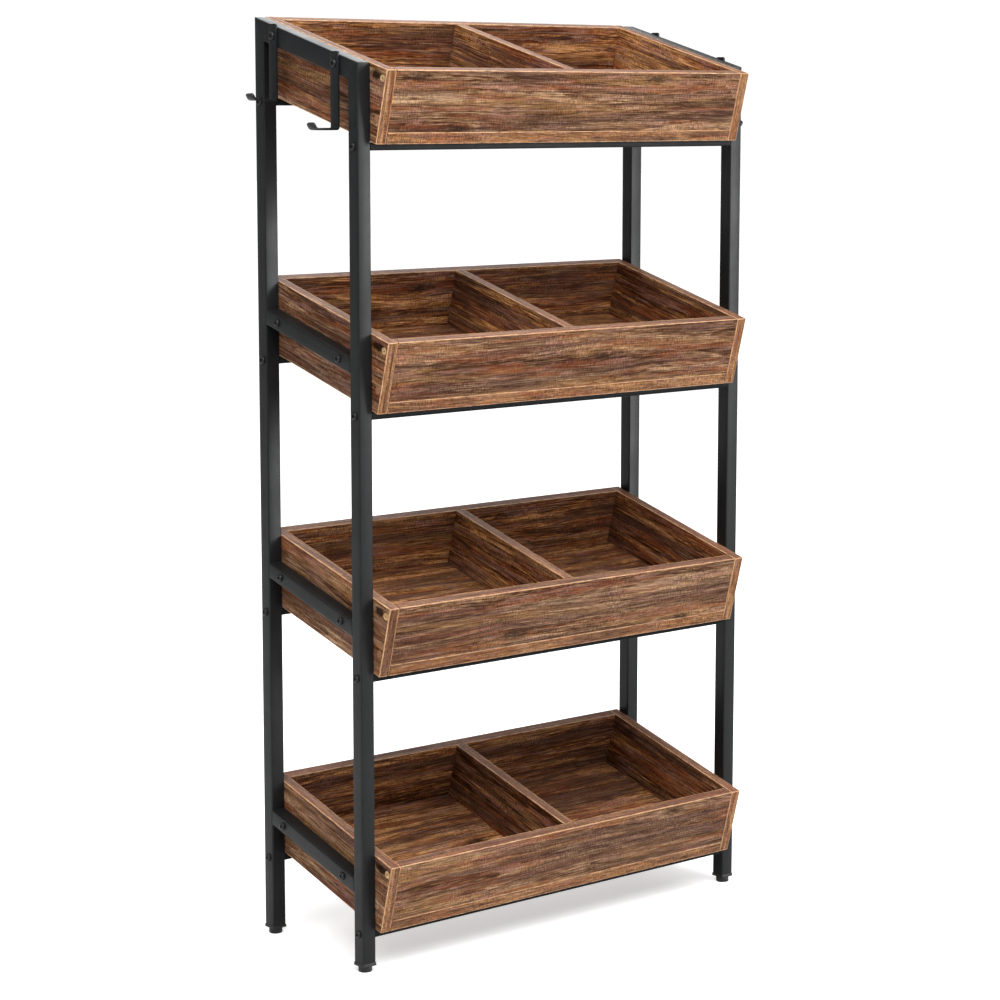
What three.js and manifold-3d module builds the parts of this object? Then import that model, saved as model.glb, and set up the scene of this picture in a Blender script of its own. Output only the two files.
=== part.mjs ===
import * as THREE from "three";
import { mergeVertices } from "three/addons/utils/BufferGeometryUtils.js";
import Module from "manifold-3d";

const wasm = await Module();
wasm.setup();

// A bakers rack: four tilted wooden bins, each with two compartments, in a black square-tube frame.
// Millimetres, +Z up. The front is towards -Y, and left and right are as seen from the front.
// The origin is on the floor, under the middle of the whole rack.

// Frame
const rackHeight = 1220; // floor to the rear top edge of the side frames
const rackWidth = 654; // over the outer faces of the posts
const postSpan = 226; // front face of the front posts to rear face of the rear posts
const tube = 20; // side of the square tube that posts and lower rails are made of
const tubeWall = 1.2;
const tubeCorner = 1.5; // outer corner radius of a tube
const topRailHeight = 25; // the top rail is a 20 by 25 tube
const lowerRailRise = 40.5; // underside of a bin to underside of its rail, square to the slope
const beamHeight = 10; // a cross beam is a 20 by 10 tube, laid flat
const beamCorner = 1;
const weldGap = 0.2; // left open between the two halves of a mitre

// Bins
const tierCount = 4;
const tierPitch = 335.4; // height from one bin to the next
const tiltDegrees = 15; // the bins and rails fall towards the front
const binLength = 274; // front to back, along the slope
const binHeight = 94.5; // square to the slope
const binOverhang = 10.5; // lower front edge of a bin ahead of the front posts
const board = 15; // thickness of every board
const boardEase = 0.6; // chamfer along the edges of a board
const gap = 0.3; // between neighbours where one of them is tilted

// Bolts: button heads with a hexagon socket, size M6
const shankRadius = 3;
const headRadius = 5.25;
const headHeight = 3.3;
const shoulderRadius = 4.5; // the crown of the head narrows in two steps
const shoulderHeight = 2.1;
const crownRadius = 2.8;
const socketWidth = 4; // across the flats
const socketDepth = 2.1;
const holeClearance = 0.3;
const endPlate = 3; // threaded plate welded into each end of a cross beam
const beamBoltLength = 29;
const railBoltOffset = 68; // from the middle of the rail to a bolt, level
const boardGrip = 12; // depth that a rail's bolt reaches into a bin's side
const drainRadius = 2; // drain holes in the underside of a cross beam
const drainInset = 30; // from the end of the beam

// Hooks
const hookWidth = 16;
const hookThickness = 3;
const hookDrop = 97.5; // top end to underside of the foot
const hookReach = 34.5; // face of the rail to the root of the lip
const hookLip = 9; // length of the lip
const hookLipLean = 30; // degrees that the lip leans outwards
const hookBend = 3; // centreline radius of the bends

// Feet
const padRadius = 9;
const padHeight = 7.8;
const stemRadius = 4;
const stemTop = 30; // height of the stem's end above the floor
const stemClearance = 0.2;
const rimBottom = 8; // the insert's rim lies between this height and the post
const rimHeight = 4;
const rimSide = 22;
const rimTopSide = 20.8; // the rim narrows towards the post
const insertSide = 17.2; // the insert inside the post
const insertTop = 34;
const footSteps = 16; // sides of a foot
const boltSteps = 12; // sides of a bolt
const boreSteps = 10; // sides of a bolt hole
const bendSteps = 4; // steps round a bend of a hook

const tilt = THREE.MathUtils.degToRad(tiltDegrees);
const slope = Math.tan(tilt);

// The bins reach further than the posts, so they set the depth of the rack
const rackDepth = binLength * Math.cos(tilt) + binHeight * Math.sin(tilt);
const binFrontY = -rackDepth / 2 + binHeight * Math.sin(tilt); // lower front edge of a bin
const frontFace = binFrontY + binOverhang;
const rearFace = frontFace + postSpan;
const sides = ["left", "right"];
const ends = ["front", "rear"];
const postY = { front: frontFace + tube / 2, rear: rearFace - tube / 2 };
const sideSign = { left: -1, right: 1 };
const outerX = rackWidth / 2;
const innerX = outerX - tube;
const postX = outerX - tube / 2;
const railMiddleY = (frontFace + rearFace) / 2;
const postBottom = rimBottom + rimHeight;
const boltBore = shankRadius + holeClearance;

// Height of the top rail's upper side above the floor, at a depth y
const topLine = (y) => rackHeight - (rearFace - y) * slope;

// Height of the underside of a tier's bin at a depth y. Tier 1 is the top one, level with the top rail.
const binUnderside = (tier, y) => topLine(y) - binHeight / Math.cos(tilt) - (tier - 1) * tierPitch;

const group = new THREE.Group();

const steelBlack = { color: 0x2b2c2e, roughness: 0.5, metalness: 0.3 };
const plasticBlack = { color: 0x17181a, roughness: 0.6, metalness: 0 };
const boardBrown = { color: 0x8a5f42, roughness: 0.65, metalness: 0 };

function addMesh(parent, name, geometry, finish) {
  const mesh = new THREE.Mesh(geometry, new THREE.MeshStandardMaterial(finish));
  mesh.name = name;
  parent.add(mesh);
  return mesh;
}

// A closed geometry as a solid for cutting and joining
function toSolid(geometry) {
  const bare = geometry.clone();
  bare.deleteAttribute("normal");
  bare.deleteAttribute("uv");
  const merged = mergeVertices(bare, 1e-4);
  return new wasm.Manifold(
    new wasm.Mesh({
      numProp: 3,
      vertProperties: new Float32Array(merged.attributes.position.array),
      triVerts: new Uint32Array(merged.index.array),
    }),
  );
}

function fromSolid(solid) {
  const { vertProperties, triVerts } = solid.getMesh();
  const geometry = new THREE.BufferGeometry();
  geometry.setAttribute("position", new THREE.BufferAttribute(new Float32Array(vertProperties), 3));
  geometry.setIndex(new THREE.BufferAttribute(new Uint32Array(triVerts), 1));
  const faceted = geometry.toNonIndexed();
  faceted.computeVertexNormals();
  return faceted;
}

function roundedRectangle(path, width, height, radius) {
  const x = width / 2 - radius;
  const y = height / 2 - radius;
  const quarter = Math.PI / 2;
  path.moveTo(x + radius, y);
  path.absarc(x, y, radius, 0, quarter, false);
  path.absarc(-x, y, radius, quarter, 2 * quarter, false);
  path.absarc(-x, -y, radius, 2 * quarter, 3 * quarter, false);
  path.absarc(x, -y, radius, 3 * quarter, 4 * quarter, false);
  return path;
}

function rectangle(path, width, height) {
  path.moveTo(width / 2, height / 2);
  path.lineTo(-width / 2, height / 2);
  path.lineTo(-width / 2, -height / 2);
  path.lineTo(width / 2, -height / 2);
  path.closePath();
  return path;
}

function tubeSection(width, height, corner) {
  const section = roundedRectangle(new THREE.Shape(), width, height, corner);
  section.holes.push(rectangle(new THREE.Path(), width - 2 * tubeWall, height - 2 * tubeWall));
  return section;
}

// A straight tube whose ends are cut by two planes. The section's x runs along `across`.
function cutTube(section, through, across, along, startPlane, endPlane) {
  const upright = new THREE.Vector3().crossVectors(along, across);
  const geometry = new THREE.ExtrudeGeometry(section, { depth: 1, bevelEnabled: false, curveSegments: 3 });
  const position = geometry.attributes.position;
  const point = new THREE.Vector3();
  for (let i = 0; i < position.count; i += 1) {
    const plane = position.getZ(i) > 0.5 ? endPlane : startPlane;
    point.copy(through);
    point.addScaledVector(across, position.getX(i));
    point.addScaledVector(upright, position.getY(i));
    const travel = -plane.distanceToPoint(point) / plane.normal.dot(along);
    point.addScaledVector(along, travel);
    position.setXYZ(i, point.x, point.y, point.z);
  }
  geometry.computeVertexNormals();
  return geometry;
}

const axisX = new THREE.Vector3(1, 0, 0);
const axisY = new THREE.Vector3(0, 1, 0);
const axisZ = new THREE.Vector3(0, 0, 1);
const upSlope = new THREE.Vector3(0, Math.cos(tilt), Math.sin(tilt));

// A plane across the direction `normal`, at a distance along it
const planeAcross = (normal, distance) => new THREE.Plane(normal.clone(), -distance);

// The plane of the mitre between a post and the top rail, moved towards the rail by an offset
function mitrePlane(end, offset) {
  const inward = end === "front" ? 1 : -1;
  const outerY = end === "front" ? frontFace : rearFace;
  const outerZ = topLine(outerY);
  const innerZ = topLine(outerY + inward * tube) - topRailHeight / Math.cos(tilt);
  const normal = new THREE.Vector3(0, inward * (outerZ - innerZ), tube).normalize();
  const corner = new THREE.Vector3(0, outerY, outerZ);
  return planeAcross(normal, normal.dot(corner) + offset);
}

// What a drill takes away along X
function boreAlongX(radius, fromX, toX, y, z) {
  const bore = new THREE.CylinderGeometry(radius, radius, Math.abs(toX - fromX), boreSteps);
  bore.rotateZ(Math.PI / 2).translate((fromX + toX) / 2, y, z);
  return toSolid(bore);
}

// A bolt along X whose head bears on a face at bearingX, on the outside of one side of the rack
function boltSolid(side, bearingX, y, z, length) {
  const profile = [
    [0, -length],
    [shankRadius, -length],
    [shankRadius, 0],
    [headRadius, 0],
    [shoulderRadius, shoulderHeight],
    [crownRadius, headHeight],
    [0, headHeight],
  ];
  const points = profile.map(([radius, height]) => new THREE.Vector2(radius, height));
  const bolt = new THREE.LatheGeometry(points, boltSteps);
  const socketRadius = socketWidth / 2 / Math.cos(Math.PI / 6);
  const socket = new THREE.CylinderGeometry(socketRadius, socketRadius, 2 * socketDepth, 6);
  socket.translate(0, headHeight, 0);
  const turn = (-sideSign[side] * Math.PI) / 2;
  const placed = (geometry) => toSolid(geometry.rotateZ(turn).translate(bearingX, y, z));
  return placed(bolt).subtract(placed(socket));
}

const beamMiddleZ = (tier, end) => binUnderside(tier, postY[end] - tube / 2) - gap - beamHeight / 2;
const tierNumbers = Array.from({ length: tierCount }, (unused, index) => index + 1);

// Posts: mitred to the top rail, open at the foot, and bored for the bolts of the cross beams
for (const side of sides) {
  for (const end of ends) {
    const foot = new THREE.Vector3(sideSign[side] * postX, postY[end], postBottom);
    const section = tubeSection(tube, tube, tubeCorner);
    const bottom = planeAcross(axisZ, postBottom);
    let post = toSolid(cutTube(section, foot, axisX, axisZ, bottom, mitrePlane(end, -weldGap / 2)));
    for (const tier of tierNumbers) {
      const bore = boreAlongX(boltBore, foot.x - tube, foot.x + tube, foot.y, beamMiddleZ(tier, end));
      post = post.subtract(bore);
    }
    addMesh(group, `${side}_${end}_post`, fromSolid(post), steelBlack);
  }
}

// Where the bolts of a tier's rail run: level with the middle of the rail's height
const topRailMiddle = (y) => topLine(y) - topRailHeight / 2 / Math.cos(tilt);
const lowerRailMiddle = (tier, y) => binUnderside(tier, y) + (lowerRailRise + tube / 2) / Math.cos(tilt);
const railMiddleZ = (tier, y) => (tier === 1 ? topRailMiddle(y) : lowerRailMiddle(tier, y));
const boltY = { front: railMiddleY - railBoltOffset, rear: railMiddleY + railBoltOffset };

// A rail with its two bolts, whose heads bear on the rail or on the hook that lies on it
function railSolid(side, tier, section, startPlane, endPlane) {
  const middle = new THREE.Vector3(sideSign[side] * postX, railMiddleY, railMiddleZ(tier, railMiddleY));
  let rail = toSolid(cutTube(section, middle, axisX, upSlope, startPlane, endPlane));
  const underHead = tier === 1 ? hookThickness : 0;
  for (const end of ends) {
    const bearingX = sideSign[side] * (outerX + underHead);
    const length = underHead + tube + gap + boardGrip;
    rail = rail.add(boltSolid(side, bearingX, boltY[end], railMiddleZ(tier, boltY[end]), length));
  }
  return rail;
}

// Rails: the top one is mitred to the posts, and the lower ones are cut plumb and welded between them
for (const side of sides) {
  const topSection = tubeSection(tube, topRailHeight, tubeCorner);
  const [frontMitre, rearMitre] = ends.map((end) => mitrePlane(end, weldGap / 2));
  const topRail = railSolid(side, 1, topSection, frontMitre, rearMitre);
  addMesh(group, `${side}_top_rail`, fromSolid(topRail), steelBlack);

  for (const tier of tierNumbers.slice(1)) {
    const section = tubeSection(tube, tube, tubeCorner);
    const atFront = planeAcross(axisY, frontFace + tube);
    const atRear = planeAcross(axisY, rearFace - tube);
    const rail = railSolid(side, tier, section, atFront, atRear);
    addMesh(group, `${side}_rail_${tier}`, fromSolid(rail), steelBlack);
  }
}

// Cross beams: each touches the underside of its bin along its upper front edge. A threaded plate in
// each end takes the bolt that comes through the post.
function beamSolid(tier, end) {
  const middle = new THREE.Vector3(0, postY[end], beamMiddleZ(tier, end));
  const section = tubeSection(tube, beamHeight, beamCorner);
  const leftEnd = planeAcross(axisX, -innerX);
  const rightEnd = planeAcross(axisX, innerX);
  let beam = toSolid(cutTube(section, middle, axisY, axisX, leftEnd, rightEnd));
  for (const side of sides) {
    const sign = sideSign[side];
    const plate = new THREE.BoxGeometry(endPlate, tube - tubeWall, beamHeight - tubeWall);
    plate.translate(sign * (innerX - endPlate / 2), middle.y, middle.z);
    const drain = new THREE.CylinderGeometry(drainRadius, drainRadius, beamHeight, boreSteps);
    drain.rotateX(Math.PI / 2).translate(sign * (innerX - drainInset), middle.y, middle.z - beamHeight / 2);
    beam = beam.add(toSolid(plate)).subtract(toSolid(drain));
    beam = beam.add(boltSolid(side, sign * outerX, middle.y, middle.z, beamBoltLength));
  }
  return beam;
}

for (const tier of tierNumbers) {
  for (const end of ends) {
    addMesh(group, `${end}_beam_${tier}`, fromSolid(beamSolid(tier, end)), steelBlack);
  }
}

// A board with eased edges, from its lowest corner
function boardGeometry(low, size) {
  const shape = rectangle(new THREE.Shape(), size.x - 2 * boardEase, size.y - 2 * boardEase);
  const geometry = new THREE.ExtrudeGeometry(shape, {
    depth: size.z - 2 * boardEase,
    bevelEnabled: true,
    bevelThickness: boardEase,
    bevelSize: boardEase,
    bevelSegments: 1,
  });
  geometry.translate(low.x + size.x / 2, low.y + size.y / 2, low.z + boardEase);
  return geometry;
}

// Bins: a floor between two full-length sides, with front, back and divider standing on the floor.
// Inside a bin x is across, y runs back along the slope and z stands square to the slope.
const binWidth = 2 * (innerX - gap);
const insideWidth = binWidth - 2 * board - 2 * gap;
const wallHeight = binHeight - board - gap;
const standing = board + gap;

// A side of a bin, with a blind hole for each bolt of its rail
function sideBoard(side, tier) {
  const lowX = side === "left" ? -binWidth / 2 : binWidth / 2 - board;
  const low = new THREE.Vector3(lowX, 0, 0);
  let solid = toSolid(boardGeometry(low, new THREE.Vector3(board, binLength, binHeight)));
  for (const end of ends) {
    const y = boltY[end] - binFrontY;
    const z = railMiddleZ(tier, boltY[end]) - binUnderside(tier, binFrontY);
    const along = y * Math.cos(tilt) + z * Math.sin(tilt);
    const square = z * Math.cos(tilt) - y * Math.sin(tilt);
    const bottomX = sideSign[side] * (innerX - gap - boardGrip - holeClearance);
    solid = solid.subtract(boreAlongX(boltBore, bottomX, sideSign[side] * outerX, along, square));
  }
  return fromSolid(solid);
}

const vector = (x, y, z) => new THREE.Vector3(x, y, z);
const acrossBoard = vector(insideWidth, board, wallHeight);

for (const tier of tierNumbers) {
  const bin = new THREE.Group();
  bin.position.set(0, binFrontY, binUnderside(tier, binFrontY));
  bin.rotation.x = tilt;
  group.add(bin);

  const add = (name, geometry) => addMesh(bin, `bin_${tier}_${name}`, geometry, boardBrown);
  add("left_side", sideBoard("left", tier));
  add("right_side", sideBoard("right", tier));
  add("floor", boardGeometry(vector(-insideWidth / 2, 0, 0), vector(insideWidth, binLength, board)));
  add("front", boardGeometry(vector(-insideWidth / 2, 0, standing), acrossBoard));
  add("back", boardGeometry(vector(-insideWidth / 2, binLength - board, standing), acrossBoard));
  const dividerSize = vector(board, binLength - 2 * standing, wallHeight);
  add("divider", boardGeometry(vector(-board / 2, standing, standing), dividerSize));
}

// The outline of a strip of even thickness that follows a bent line, with round bends
function stripOutline(corners, thickness, bendRadius, arcSteps) {
  const line = [corners[0].clone()];
  for (let i = 1; i < corners.length - 1; i += 1) {
    const before = corners[i - 1].clone().sub(corners[i]).normalize();
    const after = corners[i + 1].clone().sub(corners[i]).normalize();
    const halfAngle = Math.acos(before.dot(after)) / 2;
    const centre = before.clone().add(after).normalize();
    centre.multiplyScalar(bendRadius / Math.sin(halfAngle)).add(corners[i]);
    const start = before.multiplyScalar(bendRadius / Math.tan(halfAngle)).add(corners[i]).sub(centre);
    const end = after.multiplyScalar(bendRadius / Math.tan(halfAngle)).add(corners[i]).sub(centre);
    const turn = Math.atan2(start.cross(end), start.dot(end));
    for (let step = 0; step <= arcSteps; step += 1) {
      line.push(start.clone().rotateAround(new THREE.Vector2(), (turn * step) / arcSteps).add(centre));
    }
  }
  line.push(corners.at(-1).clone());

  const offsetAt = (i, distance) => {
    const into = line[i].clone().sub(line[Math.max(i - 1, 0)]).normalize();
    const out = line[Math.min(i + 1, line.length - 1)].clone().sub(line[i]).normalize();
    const along = into.add(out).normalize();
    const normal = new THREE.Vector2(-along.y, along.x);
    return line[i].clone().addScaledVector(normal, distance);
  };
  const outline = line.map((point, i) => offsetAt(i, thickness / 2));
  const back = line.map((point, i) => offsetAt(i, -thickness / 2)).reverse();
  return new THREE.Shape([...outline, ...back]);
}

// Hooks: a bent strip lies flat on the outside of the top rail, under the head of each of its bolts
function hookSolid(side, end) {
  const middleY = boltY[end];
  const top = topLine(middleY + hookWidth / 2);
  const skin = outerX + hookThickness / 2;
  const footZ = top - hookDrop + hookThickness / 2;
  const lean = THREE.MathUtils.degToRad(hookLipLean);
  const root = new THREE.Vector2(outerX + hookReach, footZ);
  const tip = root.clone().add(new THREE.Vector2(Math.sin(lean), Math.cos(lean)).multiplyScalar(hookLip));
  const corners = [new THREE.Vector2(skin, top), new THREE.Vector2(skin, footZ), root, tip];
  const outline = stripOutline(corners, hookThickness, hookBend, bendSteps);
  const strip = new THREE.ExtrudeGeometry(outline, { depth: hookWidth, bevelEnabled: false });
  strip.rotateX(Math.PI / 2).translate(0, hookWidth / 2, 0);
  if (side === "left") {
    strip.rotateZ(Math.PI);
  }
  strip.translate(0, middleY, 0);
  const bore = boreAlongX(boltBore, -rackWidth, rackWidth, middleY, railMiddleZ(1, middleY));
  return toSolid(strip).subtract(bore);
}

for (const side of sides) {
  for (const end of ends) {
    addMesh(group, `${side}_${end}_hook`, fromSolid(hookSolid(side, end)), steelBlack);
  }
}

// Feet: a plastic insert with a wide rim closes the post and takes the stem of a levelling foot
function insertGeometry() {
  const layer = (side, topSide, bottom, top) => {
    const shape = rectangle(new THREE.Shape(), side, side);
    shape.holes.push(new THREE.Path().absarc(0, 0, stemRadius + stemClearance, 0, 2 * Math.PI, true));
    const geometry = new THREE.ExtrudeGeometry(shape, {
      depth: top - bottom,
      bevelEnabled: false,
      curveSegments: footSteps / 2,
    });
    const position = geometry.attributes.position;
    for (let i = 0; i < position.count; i += 1) {
      const atCorner = Math.abs(position.getX(i)) > side / 2 - 0.01;
      if (atCorner && position.getZ(i) > 0) {
        position.setX(i, (position.getX(i) * topSide) / side);
        position.setY(i, (position.getY(i) * topSide) / side);
      }
    }
    return toSolid(geometry.translate(0, 0, bottom));
  };
  const rim = layer(rimSide, rimTopSide, rimBottom, postBottom);
  return fromSolid(rim.add(layer(insertSide, insertSide, rimBottom, insertTop)));
}

function footGeometry() {
  const profile = [
    [0, 0],
    [padRadius - 1, 0],
    [padRadius, 1],
    [padRadius, padHeight - 2],
    [padRadius - 1.5, padHeight],
    [stemRadius, padHeight],
    [stemRadius, stemTop - 1],
    [stemRadius - 1, stemTop],
    [0, stemTop],
  ];
  const points = profile.map(([radius, height]) => new THREE.Vector2(radius, height));
  return new THREE.LatheGeometry(points, footSteps).rotateX(Math.PI / 2);
}

for (const side of sides) {
  for (const end of ends) {
    const x = sideSign[side] * postX;
    const y = postY[end];
    addMesh(group, `${side}_${end}_insert`, insertGeometry(), plasticBlack).position.set(x, y, 0);
    addMesh(group, `${side}_${end}_foot`, footGeometry(), plasticBlack).position.set(x, y, 0);
  }
}

export default group;
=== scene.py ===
import math

import bmesh
import bpy
from mathutils import Matrix, Vector


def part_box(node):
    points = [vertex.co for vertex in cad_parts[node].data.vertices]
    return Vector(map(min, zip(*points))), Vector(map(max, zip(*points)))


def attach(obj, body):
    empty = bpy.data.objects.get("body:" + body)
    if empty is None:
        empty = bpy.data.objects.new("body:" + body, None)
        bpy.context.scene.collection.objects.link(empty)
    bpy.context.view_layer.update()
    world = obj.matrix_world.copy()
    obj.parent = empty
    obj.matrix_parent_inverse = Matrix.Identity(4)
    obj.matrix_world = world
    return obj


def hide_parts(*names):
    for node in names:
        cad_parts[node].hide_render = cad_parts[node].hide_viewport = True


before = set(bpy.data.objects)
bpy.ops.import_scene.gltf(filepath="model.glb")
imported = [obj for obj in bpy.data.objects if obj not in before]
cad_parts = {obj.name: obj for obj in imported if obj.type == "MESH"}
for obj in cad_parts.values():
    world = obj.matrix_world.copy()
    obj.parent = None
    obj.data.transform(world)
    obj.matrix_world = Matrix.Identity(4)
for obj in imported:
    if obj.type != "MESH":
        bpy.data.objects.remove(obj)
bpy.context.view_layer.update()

# A bakers rack: four tilted bins of printed board in a black powder-coated frame of square tube.
# Metres, +Z up, the front towards -Y. Places come from the frame, and sizes are the real ones.
MM = 0.001
X, Y, Z = range(3)
SIDES = {"left": -1, "right": 1}
ENDS = {"front": -1, "rear": 1}
TIERS = (1, 2, 3, 4)
TILT = math.radians(15)
SLOPE = math.tan(TILT)

# Frame
TUBE = 20 * MM
WALL = 1.2 * MM
TUBE_CORNER = 1.7 * MM
TOP_RAIL_HEIGHT = 25 * MM
WELD_GAP = 0.2 * MM
BEAM_HEIGHT = 10 * MM
BEAM_CORNER = 1.19 * MM
PLATE_THICKNESS = 3 * MM  # the threaded plate inside each end of a beam
PLATE_INSET = 2 * MM  # from the end of the beam to the middle of the plate
PLATE_PLAY = 0.12 * MM  # between the plate and the walls of the tube, on both sides together
PLATE_CHAMFER = 0.4 * MM
DRAIN_RADIUS = 2 * MM
DRAIN_INSET = 30 * MM  # from the end of the beam

# Bins
BIN_HEIGHT = 94.5 * MM
BIN_LENGTH = 274 * MM
BOARD = 15 * MM
BOARD_GAP = 0.3 * MM
EASE = 0.8 * MM  # radius of the eased board edges
BAND_LINE = 0.35 * MM  # width of the pale line that the trimmed banding leaves beside each edge
SHEET_STEP = (1.37, 0.31)  # between the parts of the printed sheet that two boards show, in metres
FACE_STEP = (0.43, 0.11)  # and between the parts that two faces of a board show
KNOT_ALONG = 19.5 * MM  # from a bin's front to the printed knot on its sides
KNOT_DROP = 11.4 * MM
KNOT_LENGTH = 27 * MM
KNOT_HEIGHT = 13 * MM
FAR_FROM_KNOT = (9, 9)  # in halves of the knot's size

# Bolts
SHANK_RADIUS = 3 * MM
TIP_LENGTH = 1 * MM
TIP_TAPER = 0.7
HEAD_RADIUS = 5.25 * MM
HEAD_HEIGHT = 3.3 * MM
HEAD_ROUNDING = HEAD_HEIGHT * 0.72
SOCKET_WIDTH = 4 * MM
SOCKET_DEPTH = 2.1 * MM
HOLE_CLEARANCE = 0.3 * MM
BOLT_OFFSET = 68 * MM  # from the middle of a rail to each of its bolts, level
BEAM_BOLT = 29 * MM
RAIL_BOLT = 32.3 * MM
SIDE_HOLE_DEPTH = RAIL_BOLT - TUBE  # of the hole for a rail's bolt in the side of a bin
BOLT_SPIN = 0.7  # radians from one pair of bolts to the next, because each bolt stops at its own angle
PAIR_SPIN = 0.4  # radians between the two bolts of a pair

# Screws
SCREW_RADIUS = 4.7 * MM
SCREW_RIM = 1.2 * MM  # height of the straight rim of a head
SCREW_CONE = 2.6 * MM  # height of the countersunk part below it
SCREW_TAPER = 0.45
SCREW_STUB = 8 * MM
RECESS_LENGTH = 5.4 * MM
RECESS_WIDTH = 1.2 * MM
RECESS_DEPTH = 1.3 * MM
SCREW_SUNK = 0.2 * MM
SCREW_HOLE_RADIUS = 5.5 * MM
SCREW_HOLE_DEPTH = 1.5 * MM
SCREW_INSET = 7.5 * MM  # from a bin's end to its screws
SCREW_DROPS = (12.8 * MM, 65 * MM)  # below the top edge of a bin: the bare screw and the capped one
SCREW_SPIN = 0.9  # radians from one screw to the next
CAP_RADIUS = SCREW_RADIUS * 1.08
CAP_HEIGHT = 2.4 * MM
CAP_CROWN = 0.7 * MM
CAP_ROUNDING = 0.6 * MM
CAP_SUNK = 0.4 * MM

# Hooks
HOOK_WIDTH = 16 * MM
HOOK_THICKNESS = 3 * MM
HOOK_LIP = 9 * MM
HOOK_LEAN = math.radians(30)
HOOK_BEND = 3 * MM
HOOK_CORNER = 3.5 * MM

# Feet
PAD_RADIUS = 9 * MM
PAD_HEIGHT = 7.8 * MM
PAD_LOWER_ROUNDING = 0.8 * MM
PAD_UPPER_ROUNDING = 1.6 * MM
STEM_RADIUS = 4 * MM
STEM_CLEARANCE = 0.3 * MM
STEM_TOP = 30 * MM
THREAD_PITCH = 1.25 * MM
THREAD_ROOT = 0.87  # share of the stem's radius that is left between the crests
RIM_HEIGHT = 4 * MM
RIM_SIDE = 22 * MM
RIM_TOP_SIDE = 20.8 * MM
RIM_CORNER = 1.6 * MM
PLUG_SIDE = 17.2 * MM

# Modelling
PARALLEL = 0.999  # two directions count as one when the cosine between them is over this
TOUCH = 0.001 * MM  # and two heights when they are closer than this
THROUGH = 80 * MM  # length of a drill that goes all the way through a foot's insert


# Materials


def linear(hex_colour):
    """An sRGB hex colour as linear RGBA."""
    values = [int(hex_colour[i : i + 2], 16) / 255 for i in (1, 3, 5)]
    return [v / 12.92 if v <= 0.04045 else ((v + 0.055) / 1.055) ** 2.4 for v in values] + [1.0]


def add(tree, kind, inputs=None, out=0, stops=None, **settings):
    """Adds a node with its settings and returns one of its outputs. An input is a value or an output.

    A socket has its name or its number. MapRange has its value at 0, the range that it comes from at
    1 and 2 and the range that it goes to at 3 and 4. Mix has its factor at 0, its colours at 6 and 7
    and its mixed colour at output 2.
    """
    node = tree.nodes.new(f"ShaderNode{kind}")
    for name, value in settings.items():
        setattr(node, name, value)
    for name, value in (inputs or {}).items():
        if isinstance(value, bpy.types.NodeSocket):
            tree.links.new(value, node.inputs[name])
        else:
            node.inputs[name].default_value = value
    if stops:
        ramp = node.color_ramp.elements
        while len(ramp) < len(stops):
            ramp.new(0.5)
        for element, (position, colour) in zip(ramp, stops):
            element.position = position
            element.color = linear(colour)
    return node.outputs[out] if node.outputs else None


def new_material(name):
    """An empty node material, with its tree and its shader."""
    material = bpy.data.materials.new(name)
    material.use_nodes = True
    tree = material.node_tree
    tree.nodes.clear()
    surface = add(tree, "BsdfPrincipled")
    add(tree, "OutputMaterial", {"Surface": surface})
    return material, tree, surface.node


def mottle(tree, place, size, detail=2, roughness=0.5, shift=0.0):
    """A cloudy pattern from 0 to 1. Its coarsest blots have the given real size along each axis."""
    flat = len(size) == 2
    scale = [1 / length for length in size] + ([1] if flat else [])
    scaled = add(tree, "Mapping", {"Vector": place, "Scale": scale, "Location": (shift, shift, 0)})
    inputs = {"Vector": scaled, "Scale": 1.0, "Detail": detail, "Roughness": roughness}
    return add(tree, "TexNoise", inputs, noise_dimensions="2D" if flat else "3D")


def stained(tree, colour, pattern, low, high, strength, stain):
    """Lays a stain over a colour where a pattern rises from one level to another."""
    amount = add(tree, "MapRange", {0: pattern, 1: low, 2: high, 3: 0.0, 4: strength})
    return add(tree, "Mix", {0: amount, 6: colour, 7: linear(stain)}, 2, data_type="RGBA")


def surfaced(tree, shader, colour, gloss, dullest, shiniest, height, relief):
    """Links colour, roughness and relief. The roughness falls from dullest to shiniest as gloss rises."""
    tree.links.new(colour, shader.inputs["Base Color"])
    roughness = add(tree, "MapRange", {0: gloss, 1: 0.3, 2: 0.7, 3: dullest, 4: shiniest})
    tree.links.new(roughness, shader.inputs["Roughness"])
    bump = add(tree, "Bump", {"Height": height, "Distance": relief, "Strength": 0.5})
    tree.links.new(bump, shader.inputs["Normal"])


def powder_coated_steel(name, gloss):
    """Black polyester powder coat with the faint orange peel of cured powder."""
    material, tree, shader = new_material(name)
    place = add(tree, "TexCoord", out="Object")
    peel = mottle(tree, place, [2.2 * MM] * 3, 3, 0.6)
    cloud = mottle(tree, place, [60 * MM] * 3, 4, 0.7)
    colour = add(tree, "ValToRGB", {0: cloud}, stops=[(0.35, "#131415"), (0.65, "#1a1b1c")])
    surfaced(tree, shader, colour, cloud, 0.42, 0.33, peel, 0.04 * MM)
    shader.inputs["Specular IOR Level"].default_value = gloss
    return material


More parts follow.
